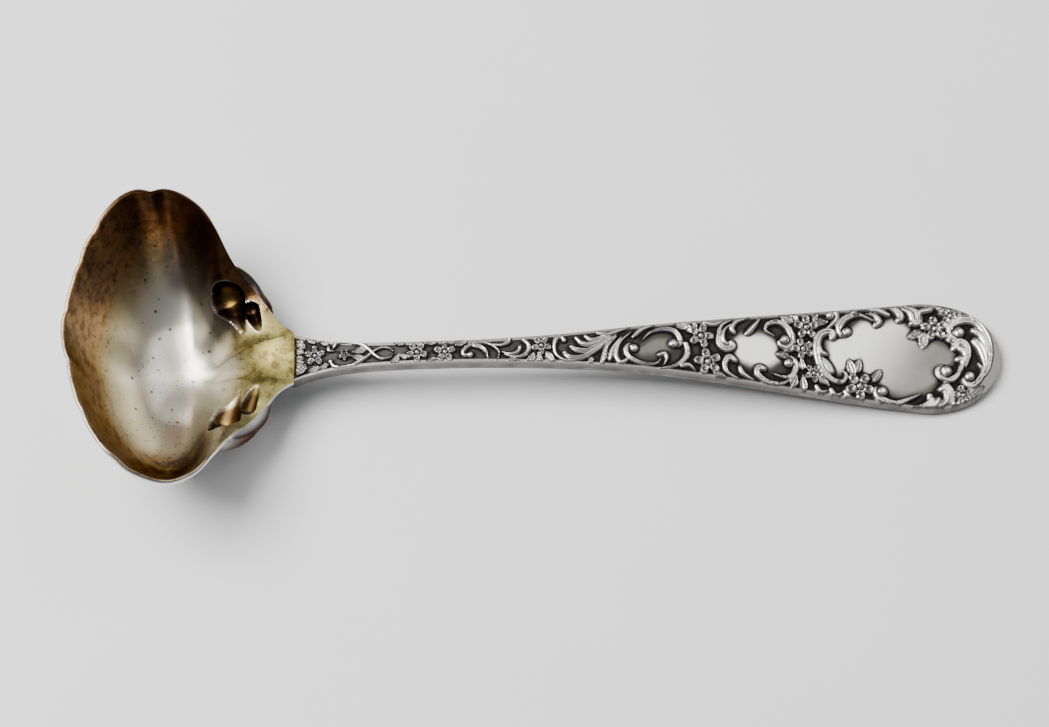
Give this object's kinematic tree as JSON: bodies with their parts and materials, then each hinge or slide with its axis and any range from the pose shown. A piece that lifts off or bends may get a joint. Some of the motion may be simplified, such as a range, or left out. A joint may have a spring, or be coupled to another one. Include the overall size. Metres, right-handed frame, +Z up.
{
  "type": "mayonnaise ladle",
  "caption": "Small serving ladle with a lobed, gilt-lined bowl and a flat tapering handle carved with scrolls and flowers.",
  "frame": {"origin": "on the table, under the middle of the ladle's bounding box", "axes": "+X along the ladle from the bowl's lip to the tip of the handle, +Z up out of the bowl, +Y to the left when looking along +X"},
  "size_m": [0.1284, 0.0428, 0.0217],
  "materials": {
    "silver": "worn sterling silver, blackened in the ground of the relief, with the inside of the bowl gilt and tarnished"
  },
  "bodies": {
    "root": {"ladle": "silver"}
  },
  "joints": []
}
